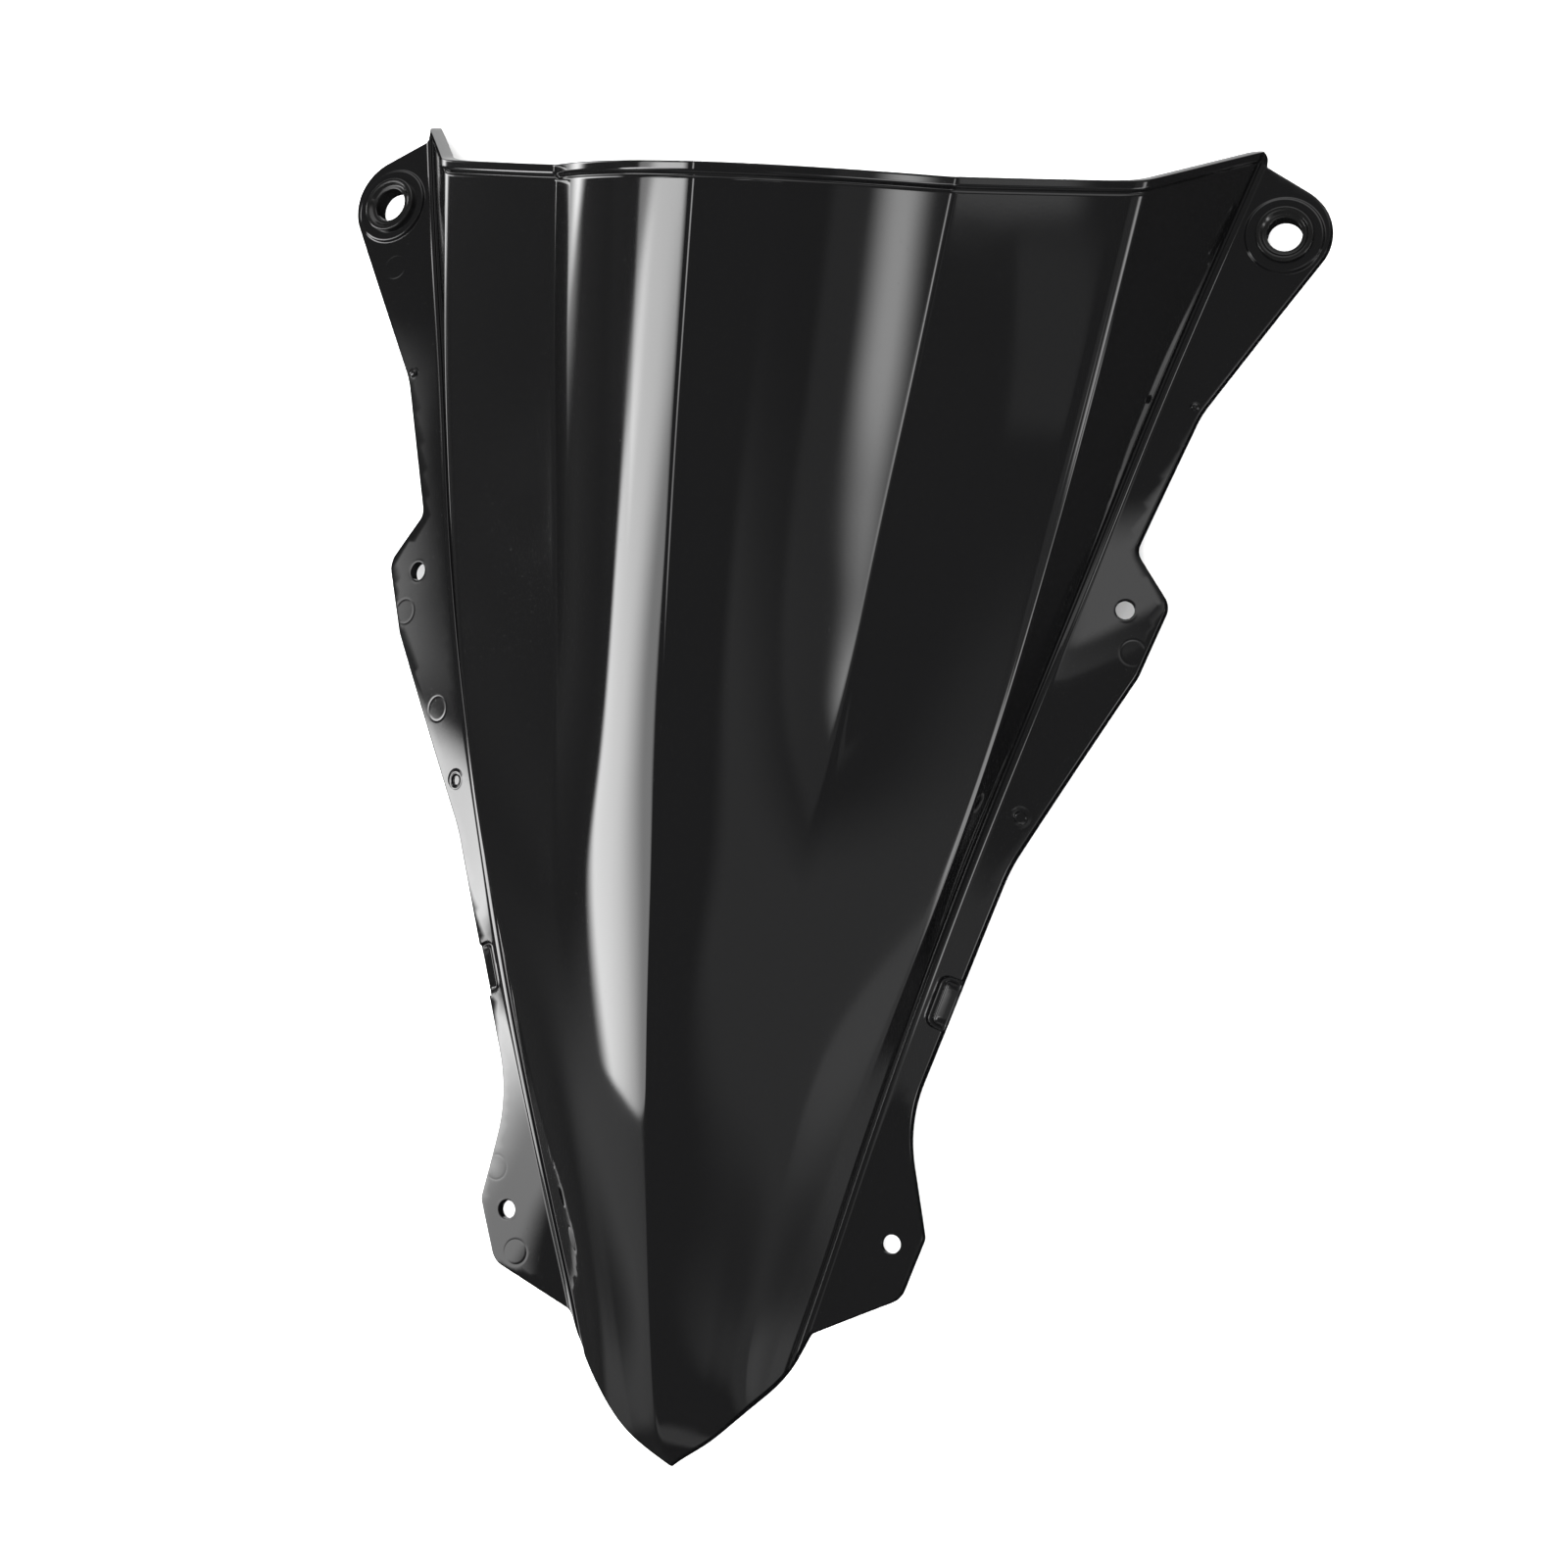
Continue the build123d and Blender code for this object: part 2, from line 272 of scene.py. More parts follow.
def outer_section(k):
    """Sharp outer profile at fine station k, and where its key points are in it."""
    foot, crease, wing, out = section_marks(k)
    n = OUTER_STEPS
    bubble = bubble_curve(k, foot, n)
    t = np.linspace(0, 1, n + 1)[:, None]
    panel = foot + (crease - foot) * t + np.array((0, 4 * PANEL_CROWN)) * t * (1 - t)
    corners = [wing + np.array(offset) for offset in JOGGLE]
    wall = crease + (corners[0] - crease) * t
    end = wing + WING_START * out
    points = np.vstack((bubble, panel[1:], wall[1:], corners[1:], end, end + 3 * out))
    keys = [0, n, 2 * n, *range(3 * n, 3 * n + 7)]
    return points, keys


def inner_section(k):
    """Sharp inner profile at fine station k: the plain outer corners moved in by the wall."""
    foot, crease, wing, out = section_marks(k)
    middle = (foot + crease) / 2 + np.array((0, PANEL_CROWN))
    wall_foot = wing + np.array((-STEP_WIDTH, STEP_HEIGHT))
    far = wing + 30 * out
    n = INNER_STEPS
    points = np.vstack((bubble_curve(k, foot, n), middle, crease, wall_foot, wing, far))
    run = np.diff(points, axis=0)
    normal = np.column_stack((run[:, 1], -run[:, 0])) / np.hypot(run[:, 0], run[:, 1])[:, None]
    first = np.vstack((normal[:1] * (-1, 1), normal))
    last = np.vstack((normal, normal[-1:]))
    mean = (first + last) / 2
    moved = points + mean * WALL / (mean**2).sum(1, keepdims=True)
    moved[0, 0] = 0
    end = moved[-2] + WING_START * out
    steps = [moved[-3] + (moved[-2] - moved[-3]) * f for f in (0.2, 0.4, 0.6, 0.8)]
    points = np.vstack((moved[:-2], steps, moved[-2], end, end + 3 * out))
    keys = [0, n, n + 2, *range(n + 3, n + 10)]
    return points, keys


def section_columns(points, keys, blends):
    """Places of the columns on a profile, with its corners rounded by a moving average."""
    # A stretch of the left half goes in front, so that the crown is rounded evenly.
    mirrored = points[1:PAST_CROWN + 1] * (-1, 1)
    whole = np.vstack((mirrored[::-1], points))
    shift = len(mirrored)
    length = np.concatenate(([0], np.cumsum(np.hypot(*np.diff(whole, axis=0).T))))
    fine = np.arange(0, length[-1], ARC_STEP)
    dense = np.column_stack([np.interp(fine, length, whole[:, i]) for i in (0, 1)])
    total = np.vstack(((0, 0), np.cumsum((dense[1:] + dense[:-1]) / 2 * ARC_STEP, axis=0)))
    marks = [length[shift + key] for key in keys]
    place = [marks[0]]
    blend = [blends[0]]
    blends = list(blends)
    blends[2] = min(blends[2], WALL_SHARE * (marks[3] - marks[2]))
    for i, span in enumerate(SPANS):
        place.extend(marks[i] + (marks[i + 1] - marks[i]) * span[1:])
        mix = 1 - (1 - span[1:]) ** 3 if i == 2 else span[1:]
        blend.extend(blends[i] + (blends[i + 1] - blends[i]) * mix)
    place, blend = np.array(place), np.array(blend)
    low, high = place - blend, place + blend
    mean = [
        (np.interp(high, fine, total[:, i]) - np.interp(low, fine, total[:, i])) / (2 * blend) for i in (0, 1)
    ]
    mean[0][0] = 0
    return mean


def surface(section, joggle_blend):
    """Columns of a face over the fine stations: x and z, each COLUMNS by stations."""
    used = np.flatnonzero((FINE >= STATIONS[0]) & (FINE <= STATIONS[-1]))
    wide_start, wide_end = NOSE_FOLD_RANGE
    xs, zs = [], []
    for k in used:
        points, keys = section(k)
        towards_nose = np.clip((wide_end - FINE[k]) / (wide_end - wide_start), 0, 1)
        fold = FOLD_BLEND + NOSE_FOLD_BLEND * towards_nose
        blends = [CROWN_BLEND, fold, CREASE_BLEND] + [joggle_blend] * (len(keys) - 3)
        x, z = section_columns(points, keys, blends)
        xs.append(x)
        zs.append(z + REST_LIFT)
    return FINE[used], np.array(xs).T, np.array(zs).T


# ---------------------------------------------------------------- outlines
def rounded_path(corners, spacing):
    """Points along a path of straight runs with each corner rounded to its radius."""
    points = [np.array(corners[0][:2], float)]
    for i in range(1, len(corners) - 1):
        before, here, after = (np.array(corners[j][:2], float) for j in (i - 1, i, i + 1))
        a, b = before - here, after - here
        a, b = a / np.linalg.norm(a), b / np.linalg.norm(b)
        half = math.acos(np.clip(a @ b, -1, 1)) / 2
        reach = corners[i][2] / math.tan(half)
        start, end = here + a * reach, here + b * reach
        centre = here + (a + b) / np.linalg.norm(a + b) * corners[i][2] / math.sin(half)
        turn = math.pi - 2 * half
        count = max(3, int(math.ceil(turn * corners[i][2] / (0.6 * spacing))), int(turn / CORNER_TURN))
        for f in np.linspace(0, 1, count + 1):
            p = (start - centre) * math.sin((1 - f) * turn) + (end - centre) * math.sin(f * turn)
            points.append(centre + p / math.sin(turn))
    points.append(np.array(corners[-1][:2], float))
    return np.array(points)


def spaced(path, gap):
    """The path with extra points, so that no two neighbours are further apart than gap."""
    out = [path[0]]
    for a, b in zip(path[:-1], path[1:]):
        count = max(1, int(math.ceil(np.linalg.norm(b - a) / gap)))
        out.extend(a + (b - a) * f for f in np.linspace(0, 1, count + 1)[1:])
    return np.array(out)


def nose_path():
    """Smooth nose outline from the tip to the wing: x against station."""
    knots = np.array(NOSE_OUTLINE, float)
    run = np.concatenate(([0], np.cumsum(np.hypot(*np.diff(knots, axis=0).T))))
    n = len(run)
    slope = np.zeros((n, 2))
    for i in range(n):
        before, after = max(i - 1, 0), min(i + 1, n - 1)
        slope[i] = (knots[after] - knots[before]) / (run[after] - run[before])
    points = []
    for u in np.linspace(0, run[-1], NOSE_POINTS):
        i = min(np.searchsorted(run, u, side="right") - 1, n - 2)
        step = run[i + 1] - run[i]
        points.append(cubic((u - run[i]) / step, step, knots[i], knots[i + 1], slope[i], slope[i + 1]))
    return np.array(points)


OUTLINE = rounded_path(WING_OUTLINE, 2.0)
# Front edge as x against a rising station: the nose and the wing's front up to its first corner.
FRONT = np.vstack((nose_path()[:-1], OUTLINE[:8]))
REAR_Z = np.linspace(REAR_EDGE[0][0], REAR_EDGE[-1][0], REAR_POINTS)


def rear_station(z):
    """Station of the rear edge at a height, with its corners eased."""
    raw = np.interp(REAR_Z, *zip(*REAR_EDGE))
    weight = np.exp(-0.5 * ((REAR_Z[None, :] - REAR_Z[:, None]) / REAR_EASE) ** 2)
    smooth = (weight @ raw) / weight.sum(1)
    start, end = REAR_EASE_Z
    mix = np.clip((REAR_Z - start) / (end - start), 0, 1)
    return np.interp(z - REST_LIFT, REAR_Z, raw * (1 - mix) + smooth * mix)


def first_crossing(stations, gap):
    """The first station where gap falls to zero or below."""
    i = int(np.argmax(gap <= 0))
    if i == 0:
        return stations[0]
    return stations[i - 1] + (stations[i] - stations[i - 1]) * gap[i - 1] / (gap[i - 1] - gap[i])


def column_range(stations, x, z):
    """Where a column starts on the front edge and ends on the rear edge."""
    fine = np.arange(SEARCH_FROM[0], STATIONS[-1] - 1, EDGE_STEP)
    fx, fz = np.interp(fine, stations, x), np.interp(fine, stations, z)
    front = np.interp(fine, FRONT[:, 1], FRONT[:, 0])
    start = max(first_crossing(fine, fx - front), 0.0)
    rear = rear_station(fz)
    corner = np.clip((fx - (EAR_X - TIP_R)) / TIP_R, 0, 1)
    tip = REAR_EDGE[1][1] - TIP_R + TIP_R * np.sqrt(1 - corner**2)
    (x0, s0), (x1, s1) = WING_OUTLINE[-1][:2], WING_OUTLINE[-2][:2]
    wing_rear = s0 + (fx - x0) * (s1 - s0) / (x1 - x0)
    limit = np.where(fx > EAR_X, wing_rear, np.minimum(rear, tip))
    rear_half = fine > SEARCH_FROM[1]
    return start, first_crossing(fine[rear_half], (limit - fine)[rear_half])


def lip_lift(distance):
    """Height of the rear bead and the groove behind it, against distance from the rear edge."""
    fall = np.clip((distance - LIP_BEAD) / LIP_FALL, 0, 1)
    bead = LIP_HEIGHT * (1 - fall * fall * (3 - 2 * fall))
    groove = np.clip((distance - LIP_BEAD - LIP_GAP) / LIP_GROOVE, 0, 1)
    return bead - LIP_GROOVE_DEPTH * np.sin(np.pi * groove) ** 2


def grid(section, joggle_blend, outside):
    """One face as COLUMNS by rows of points, with its true edge points at both ends."""
    stations, xs, zs = surface(section, joggle_blend)
    points = np.zeros((COLUMNS, ROW_COUNT, 3))
    edges = np.zeros((2, COLUMNS, 3))
    rear_gap = np.zeros((COLUMNS, ROW_COUNT))
    for j in range(COLUMNS):
        start, end = column_range(stations, xs[j], zs[j])
        low, high = start + EDGE_R + FRONT_ROWS[-1], end - EDGE_R - REAR_ROWS[0]
        place = np.concatenate((
            start + EDGE_R + np.array(FRONT_ROWS), low + (high - low) * MIDDLE_ROWS,
            end - EDGE_R - np.array(REAR_ROWS),
        ))
        for target, s in ((points[j], place), (edges[:, j], np.array((start, end)))):
            target[:] = np.column_stack((np.interp(s, stations, xs[j]), s, np.interp(s, stations, zs[j])))
        rear_gap[j] = end - place
    if outside:
        across, length = np.gradient(points, axis=0), np.gradient(points, axis=1)
        normal = np.cross(across, length)
        normal /= np.linalg.norm(normal, axis=2, keepdims=True)
        fade = np.ones(COLUMNS)
        fade[JOGGLE_START:] = np.clip(1 - np.arange(COLUMNS - JOGGLE_START) / LIP_FADE, 0, 1)
        points += normal * (lip_lift(rear_gap) * fade[:, None])[:, :, None]
        edges[1] += normal[:, -1] * (LIP_HEIGHT * fade)[:, None]
        points[:, :, 2] -= CROWN_GROOVE * np.exp(-((points[:, :, 0] / CROWN_GROOVE_WIDTH) ** 2))
    points[0, :, 0] = 0
    edges[:, 0, 0] = 0
    return points, edges


# ---------------------------------------------------------------- wing features
def tangent_frame(place):
    """Origin, across, along and normal of the plane on the wing's outer face."""
    x, s = place
    across = (wing_height(x + 1, s) - wing_height(x - 1, s)) / 2
    length = (wing_height(x, s + 1) - wing_height(x, s - 1)) / 2
    origin = np.array((x, s, wing_height(x, s)))
    normal = np.array((-across, -length, 1.0))
    normal /= np.linalg.norm(normal)
    x_dir = np.array((1, 0, across))
    x_dir /= np.linalg.norm(x_dir)
    return origin, x_dir, np.cross(normal, x_dir), normal


def ring(place, radius, count, drop=0.0):
    """A circle of points on the wing's plane, moved down its normal by drop."""
    origin, x_dir, y_dir, normal = tangent_frame(place)
    turn = 2 * np.pi * np.arange(count) / count
    return origin - drop * normal + radius * (np.outer(np.cos(turn), x_dir) + np.outer(np.sin(turn), y_dir))


def radius_on(place, x, s):
    """Distance from a feature's centre, measured on the wing's plane."""
    origin, x_dir, y_dir, _ = tangent_frame(place)
    z = wing_height(x, s)
    d = np.column_stack((np.ravel(x), np.ravel(s), np.ravel(z))) - origin
    return np.hypot(d @ x_dir, d @ y_dir).reshape(np.shape(x))


def plane_height(place, lift, x, s):
    """Height at (x, s) of the wing's plane at a feature, moved up its normal by lift."""
    origin, _, _, normal = tangent_frame(place)
    base = origin + lift * normal
    return base[2] - ((x - base[0]) * normal[0] + (s - base[1]) * normal[1]) / normal[2]


def ease(value, low, high):
    """Smooth step from 0 at low to 1 at high."""
    t = np.clip((value - low) / (high - low), 0, 1)
    return t * t * (3 - 2 * t)


def notch_axes():
    """Directions along and across the rebate in plan."""
    along = np.array((NOTCH_SWEEP, 1.0)) / math.hypot(NOTCH_SWEEP, 1.0)
    return along, np.array((along[1], -along[0]))


def notch_distance(x, s):
    """Signed distance to the rebate in the wing's edge, below zero inside it."""
    along, across = notch_axes()
    dx, ds = x - NOTCH[0], s - NOTCH[1]
    u, v = dx * along[0] + ds * along[1], dx * across[0] + ds * across[1]
    half = np.array((NOTCH_LENGTH / 2 - NOTCH_ROUND, NOTCH_WIDTH - NOTCH_ROUND))
    qx, qy = np.abs(u) - half[0], np.abs(v) - half[1]
    return np.hypot(np.maximum(qx, 0), np.maximum(qy, 0)) + np.minimum(np.maximum(qx, qy), 0) - NOTCH_ROUND


def notch_loop(distance, spacing):
    """Points on the rebate's outline grown by distance (negative is inside)."""
    half_u, half_v = NOTCH_LENGTH / 2 - NOTCH_ROUND, NOTCH_WIDTH - NOTCH_ROUND
    radius = NOTCH_ROUND + distance
    corners = []
    for side_u, side_v, first in ((1, -1, -90), (1, 1, 0), (-1, 1, 90), (-1, -1, 180)):
        cu, cv = side_u * half_u, side_v * half_v
        for turn in np.radians(np.linspace(first, first + 90, 7)):
            corners.append((cu + radius * math.cos(turn), cv + radius * math.sin(turn)))
    corners.append(corners[0])
    path = spaced(np.array(corners), spacing)[:-1]
    along, across = notch_axes()
    return np.array(NOTCH) + np.outer(path[:, 0], along) + np.outer(path[:, 1], across)


def wing_top(x, s):
    """Height of the wing's outer face with its pad, rebate, dimple, pip and ejector marks."""
    z = wing_height(x, s)
    r = radius_on(MIRROR_HOLE, x, s)
    pad = 1 - ease(r, PAD_R + PAD_EDGE[0], PAD_R + PAD_EDGE[1])
    z = z + (plane_height(MIRROR_HOLE, PAD_HEIGHT, x, s) - z) * pad
    r = radius_on(DIMPLE, x, s)
    z = z - DIMPLE_DEPTH * (1 - ease(r, DIMPLE_R - DIMPLE_EDGE, DIMPLE_R))
    z = z + DIMPLE_RIM_HEIGHT * (1 - ease(abs(r - DIMPLE_RIM_R), *DIMPLE_RIM))
    r = radius_on(PIP, x, s)
    z = z + PIP_HEIGHT * np.sqrt(np.clip(1 - (r / PIP_R) ** 2, 0, 1))
    for place in EJECTOR_MARKS:
        r = radius_on(place, x, s)
        z = z - EJECTOR_DEPTH * (1 - ease(abs(r - EJECTOR_R), *EJECTOR_LINE))
    d = notch_distance(x, s)
    z = z - NOTCH_DEPTH * (1 - ease(d, -NOTCH_EDGE, 0.0))
    return z + NOTCH_RIB * (1 - ease(abs(d + NOTCH_RIB_INSET), *NOTCH_RIB_SIDE))


def wing_bottom(x, s):
    """Height of the wing's underside with the flat seat under the mirror hole."""
    z = wing_under(x, s)
    r = radius_on(MIRROR_HOLE, x, s)
    return z + (plane_height(MIRROR_HOLE, -WALL, x, s) - z) * (1 - ease(r, SEAT_R, SEAT_R + SEAT_EDGE))


def inset_path(path, distance):
    """A path moved to its left by distance."""
    run = np.diff(path, axis=0)
    normal = np.column_stack((-run[:, 1], run[:, 0])) / np.hypot(run[:, 0], run[:, 1])[:, None]
    mean = (np.vstack((normal[:1], normal)) + np.vstack((normal, normal[-1:]))) / 2
    return path + mean * distance / (mean**2).sum(1, keepdims=True)


def in_polygon(points, polygon):
    """Which points lie inside the closed polygon."""
    x, y = points[:, 0], points[:, 1]
    inside = np.zeros(len(points), bool)
    for (x0, y0), (x1, y1) in zip(polygon, np.roll(polygon, -1, axis=0)):
        if y0 == y1:
            continue
        cross = (y0 > y) != (y1 > y)
        inside ^= cross & (x < (x1 - x0) * (y - y0) / (y1 - y0) + x0)
    return inside


def distance_to(points, polygon):
    """Distance of each point to the closed polygon's sides."""
    best = np.full(len(points), 1e9)
    for a, b in zip(polygon, np.roll(polygon, -1, axis=0)):
        run = b - a
        t = np.clip(((points - a) @ run) / max(run @ run, 1e-12), 0, 1)
        best = np.minimum(best, np.hypot(*(points - a - t[:, None] * run).T))
    return best


# ---------------------------------------------------------------- mesh gathering
class Skin:
    """Points and faces of the right half; points on X = 0 are shared with the mirrored half."""

    def __init__(self):
        self.points, self.faces = [], []

    def add(self, points):
        """Add points and return their numbers."""
        first = len(self.points)
        self.points.extend(np.asarray(points, float).reshape(-1, 3))
        return np.arange(first, len(self.points))

    def strip(self, a, b, closed=False, flip=False):
        """Quads between two rows of the same length."""
        n = len(a)
        for i in range(n if closed else n - 1):
            k = (i + 1) % n
            face = (a[i], a[k], b[k], b[i])
            self.faces.append(face[::-1] if flip else face)

    def rim(self, top, top_edge, under_edge, under, radius, hole):
        """Rounded edge from the row top, round both true corners, to the row under.

        Both roundings are quadratic curves with the true corner as their middle point.
        """
        top_edge, under_edge = np.asarray(top_edge), np.asarray(under_edge)
        a = np.array([self.points[i] for i in top])
        b = np.array([self.points[i] for i in under])
        down = under_edge - top_edge
        down /= np.linalg.norm(down, axis=1, keepdims=True)
        rows = [top]
        end = top_edge + radius * down
        for t in RIM_STEPS:
            rows.append(self.add((1 - t) ** 2 * a + 2 * t * (1 - t) * top_edge + t * t * end))
        rows.append(self.add((top_edge + under_edge) / 2))
        start = under_edge - radius * down
        for t in (1 - step for step in reversed(RIM_STEPS)):
            rows.append(self.add((1 - t) ** 2 * start + 2 * t * (1 - t) * under_edge + t * t * b))
        rows.append(under)
        for one, other in zip(rows[:-1], rows[1:]):
            self.strip(one, other, closed=hole, flip=not hole)


def wing_grid(polygon):
    """Even mesh points inside the outline, clear of the wing's features."""
    low, high = polygon.min(0), polygon.max(0)
    step = WING_SPACING
    points = []
    for n, s in enumerate(np.arange(low[1], high[1], step * WING_ROW)):
        for x in np.arange(low[0] + (n % 2) * step / 2, high[0], step):
            points.append((x, s))
    points = np.array(points)
    keep = in_polygon(points, polygon) & (distance_to(points, polygon) > 0.55 * step)
    for centre, radius in CLEARINGS:
        keep &= radius_on(centre, points[:, 0], points[:, 1]) > radius + 0.4 * step
    keep &= notch_distance(points[:, 0], points[:, 1]) > NOTCH_CLEARING
    return points[keep]


def wing_patch(skin, polygon, polygon_index, rings, height, extra, upward):
    """Triangles over the wing between its outline and its holes, at height(x, station)."""
    extra = extra[in_polygon(extra, polygon)]
    extra = extra[distance_to(extra, polygon) > 0.35]
    inner = np.vstack((wing_grid(polygon), extra))
    inner_index = skin.add(np.column_stack((inner, height(inner[:, 0], inner[:, 1]))))
    plan, index, edges = [*polygon], [*polygon_index], []
    for points, numbers in rings:
        first = len(plan)
        plan.extend(points)
        index.extend(numbers)
        edges.extend((first + i, first + (i + 1) % len(points)) for i in range(len(points)))
    plan.extend(inner)
    index.extend(inner_index)
    made = delaunay_2d_cdt([Vector(p) for p in plan], edges, [list(range(len(polygon)))], 1, 1e-7)
    coords, _, triangles, origin = made[:4]
    flat = np.array([tuple(c) for c in coords])
    for triangle in triangles:
        centre = flat[list(triangle)].mean(0)[None]
        if any(in_polygon(centre, loop)[0] for loop, _ in rings):
            continue
        face = [index[origin[i][0]] for i in triangle]
        a, b, c = flat[list(triangle)]
        counter = (b[0] - a[0]) * (c[1] - a[1]) - (b[1] - a[1]) * (c[0] - a[0]) > 0
        skin.faces.append(tuple(face if counter == upward else face[::-1]))


CLEARINGS = (  # how far the wing's even mesh keeps from each feature
    (MIRROR_HOLE, PAD_R + 0.6), (DIMPLE, 3.9), (PIP, 2.2), (UPPER_FIXING, FIXING_HOLE_R + 1.5),
    (LOWER_FIXING, FIXING_HOLE_R + 1.5), *((place, EJECTOR_R + 0.9) for place in EJECTOR_MARKS),
)
NOTCH_CLEARING = 0.8
HOLES = (  # centre, radius, points round it and height of the outer face above the wing
    (UPPER_FIXING, FIXING_HOLE_R, 40, 0.0), (LOWER_FIXING, FIXING_HOLE_R, 40, 0.0),
    (MIRROR_HOLE, MIRROR_HOLE_R, 48, PAD_HEIGHT),
)
PAD_OFFSETS = (0.6, 0.15, 0.05, -0.05, -0.15, -0.25, -0.8)
DIMPLE_RADII = (0.7, 1.3, 1.7, 1.8, 1.9, 2.0, 2.1, 2.3, 2.5, 2.7, 2.9, 3.1, 3.3, 3.9)
PIP_RADII = (0.4, 0.8, 1.1, 1.3, 1.42, 1.5, 1.6, 2.2)
EJECTOR_OFFSETS = (-0.9, -0.3, -0.15, 0, 0.15, 0.3, 0.9)
NOTCH_OFFSETS = (0.5, 0.1, 0, -0.1, -0.2, -0.35, -0.6, -1.35, -1.55, -1.75, -1.9, -2.05, -2.25, -2.45)


def feature_points(top):
    """Extra points in rings round each small feature, so that its edge is crisp."""
    if top:
        rings = [ring(MIRROR_HOLE, PAD_R + d, 90) for d in PAD_OFFSETS]
        rings += [ring(MIRROR_HOLE, 10.2, 48), ring(MIRROR_HOLE, 8.6, 44)]
        rings += [ring(DIMPLE, r, 36) for r in DIMPLE_RADII]
        rings += [ring(PIP, r, 30) for r in PIP_RADII]
        rings += [ring(place, EJECTOR_R + d, 48) for place in EJECTOR_MARKS for d in EJECTOR_OFFSETS]
    else:
        rings = [ring(MIRROR_HOLE, r, 60) for r in (SEAT_R + 1, SEAT_R + 0.3, SEAT_R + 0.15, SEAT_R, 8.6)]
    for place in (UPPER_FIXING, LOWER_FIXING):
        rings += [ring(place, FIXING_HOLE_R + d, 40) for d in (0.7, 1.5)]
    points = [loop[:, :2] for loop in rings]
    if top:
        points += [notch_loop(d, 0.5) for d in NOTCH_OFFSETS]
    return np.vstack(points)


def trimmed_outline(start, end):
    """The wing's plan outline from start to end, where the columns' edges stop, finer at the rebate."""
    path = spaced(OUTLINE, OUTLINE_SPACING)
    a, b = np.array(start[:2]), np.array(end[:2])
    path = path[np.hypot(*(path - a).T) > TRIM_CLEAR]
    path = path[(path[:, 1] > a[1]) | (path[:, 0] > a[0])]
    middle = (a[1] + b[1]) / 2
    path = path[~((path[:, 0] < b[0] + TRIM_CLEAR) & (path[:, 1] > TRIM_REAR))]
    path = path[~((path[:, 0] < a[0] + TRIM_CLEAR) & (path[:, 1] < middle))]
    path = np.vstack((a, path, b))
    fine = spaced(path, NOTCH_SPACING)
    d = notch_distance(fine[:, 0], fine[:, 1])
    near = (np.abs(d) < 0.6) & (fine[:, 0] > NOTCH[0] - 6)
    coarse = np.zeros(len(fine), bool)
    for p in path:
        coarse[np.argmin(np.hypot(*(fine - p).T))] = True
    return fine[coarse | near]


def build_half():
    """The right half of the moulding."""
    skin = Skin()
    outer, outer_edge = grid(outer_section, JOGGLE_BLEND, True)
    inner, inner_edge = grid(inner_section, INNER_BLEND, False)
    loops = []
    for points, edge, upward in ((outer, outer_edge, True), (inner, inner_edge, False)):
        index = skin.add(points).reshape(COLUMNS, ROW_COUNT)
        for j in range(COLUMNS - 1):
            skin.strip(index[j], index[j + 1], flip=upward)
        loops.append((points, edge, index, upward))
    outline = trimmed_outline(outer_edge[0, -1], outer_edge[1, -1])
    inset = inset_path(outline, EDGE_R)[1:-1]
    parts = []
    for points, edge, index, upward in loops:
        height = wing_top if upward else wing_bottom
        inset_index = skin.add(np.column_stack((inset, height(inset[:, 0], inset[:, 1]))))
        corner = np.column_stack((outline[1:-1], height(outline[1:-1, 0], outline[1:-1, 1])))
        polygon = np.vstack((points[-1, :, :2], inset[::-1]))
        numbers = [*index[-1], *inset_index[::-1]]
        rings, ring_numbers = [], []
        for place, radius, count, lift in HOLES:
            drop = -lift if upward else WALL
            loop = ring(place, radius + HOLE_EDGE_R, count, drop)
            ring_index = skin.add(loop)
            rings.append((loop[:, :2], ring_index))
            ring_numbers.append((ring_index, ring(place, radius, count, drop)))
        wing_patch(skin, polygon, numbers, rings, height, feature_points(upward), upward)
        loop_index = np.concatenate((index[:, 0], inset_index, index[::-1, -1]))
        loop_edge = np.vstack((edge[0], corner, edge[1, ::-1]))
        parts.append((loop_index, loop_edge, ring_numbers))
    (top, top_edge, top_rings), (under, under_edge, under_rings) = parts
    skin.rim(top, top_edge, under_edge, under, EDGE_R, False)
    for (a, a_edge), (b, b_edge) in zip(top_rings, under_rings):
        skin.rim(a, a_edge, b_edge, b, HOLE_EDGE_R, True)
    return skin


def to_frame(points):
    """Points (x, station, height) in millimetres to the shared frame in metres."""
    return np.column_stack((points[:, 0], points[:, 1] + NOSE_Y, points[:, 2])) * MM


def make_mesh(name, points, faces):
    """A smooth-shaded object from points and faces, without points that no face uses."""
    used = np.zeros(len(points), bool)
    for face in faces:
        used[list(face)] = True
    number = np.cumsum(used) - 1
    points = points[used]
    faces = [number[list(face)] for face in faces]
    mesh = bpy.data.meshes.new(name)
    mesh.from_pydata(points.tolist(), [], [list(map(int, face)) for face in faces])
    mesh.validate()
    mesh.shade_smooth()
    piece = bpy.data.objects.new(name, mesh)
    bpy.context.scene.collection.objects.link(piece)
    return piece


